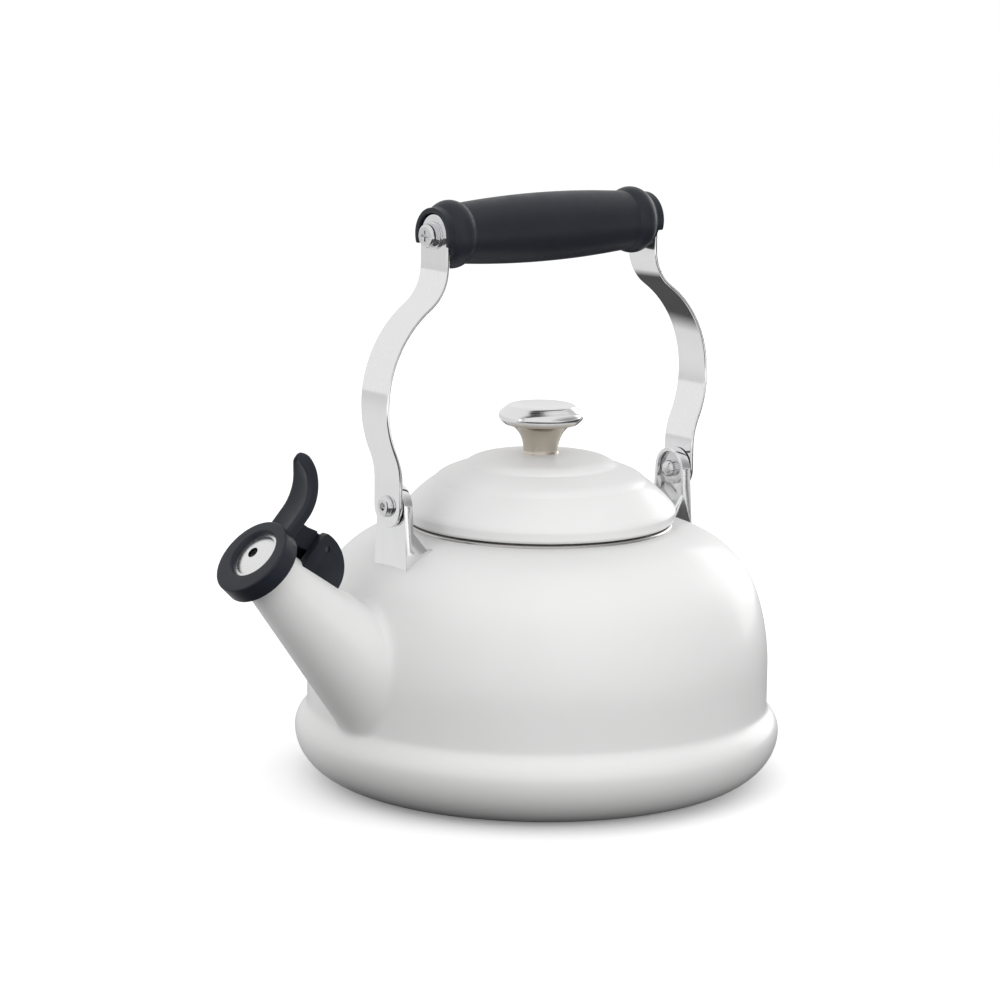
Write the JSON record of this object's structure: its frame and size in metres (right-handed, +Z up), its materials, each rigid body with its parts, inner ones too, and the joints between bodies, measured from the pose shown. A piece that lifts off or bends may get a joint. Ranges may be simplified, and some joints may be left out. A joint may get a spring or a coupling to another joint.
{
  "type": "stovetop whistling kettle",
  "caption": "Round enamelled kettle with a swinging bail handle, a lift-off lid and a sprung thumb-lever whistle on the spout, for boiling and pouring water.",
  "frame": {"origin": "centre of the flat base's underside, on the body's axis", "axes": "+Z up the body's axis, -X the way the spout points, the handle's straps stand in the XZ plane and its pivots lie on a line along X"},
  "size_m": [0.2558, 0.2, 0.2419],
  "materials": {
    "enamel": "satin white enamel",
    "polished_steel": "mirror-polished stainless steel",
    "brushed_steel": "fine turned or brushed stainless steel",
    "fastener_steel": "plain stainless steel",
    "charcoal_plastic": "fine-grained charcoal heat-resisting plastic",
    "insert_brass": "plain turned brass"
  },
  "bodies": {
    "kettle": {"body_shell": "enamel", "base_pan": "enamel", "trim_ring": "brushed_steel", "spout_tube": "enamel", "front_bracket": "polished_steel", "rear_bracket": "polished_steel", "pivot_screws": "fastener_steel", "pivot_nuts": "fastener_steel", "pivot_washers": "fastener_steel", "friction_washers": "fastener_steel", "hinge_bracket": "charcoal_plastic", "spout_lug": "fastener_steel", "hinge_pin": "fastener_steel", "lever_spring": "fastener_steel"},
    "handle": {"front_strap": "polished_steel", "rear_strap": "polished_steel", "grip": "charcoal_plastic", "grip_inserts": "insert_brass", "grip_screws": "fastener_steel", "grip_washers": "fastener_steel"},
    "lid": {"lid_shell": "enamel", "lid_skirt": "brushed_steel", "lid_knob": "brushed_steel", "knob_screw": "fastener_steel", "knob_washer": "fastener_steel"},
    "whistle": {"whistle_cap": "charcoal_plastic", "whistle_outer_disc": "brushed_steel", "whistle_inner_disc": "brushed_steel", "thumb_lever": "charcoal_plastic"}
  },
  "joints": [
    {"name": "handle_swing", "type": "hinge", "parent": "kettle", "child": "handle", "pos_m": [0, 0, 0.1211], "axis": [1, 0, 0], "range_deg": [-90, 90]},
    {"name": "lid_lift", "type": "slide", "parent": "kettle", "child": "lid", "axis": [0, 0, 1], "range_m": [0, 0.045]},
    {"name": "whistle_flip", "type": "hinge", "parent": "kettle", "child": "whistle", "pos_m": [-0.11365, 0, 0.10888], "axis": [0, 1, 0], "range_deg": [0, 40], "stiffness_Nm_per_rad": 0.04, "springref_deg": -34.38}
  ]
}
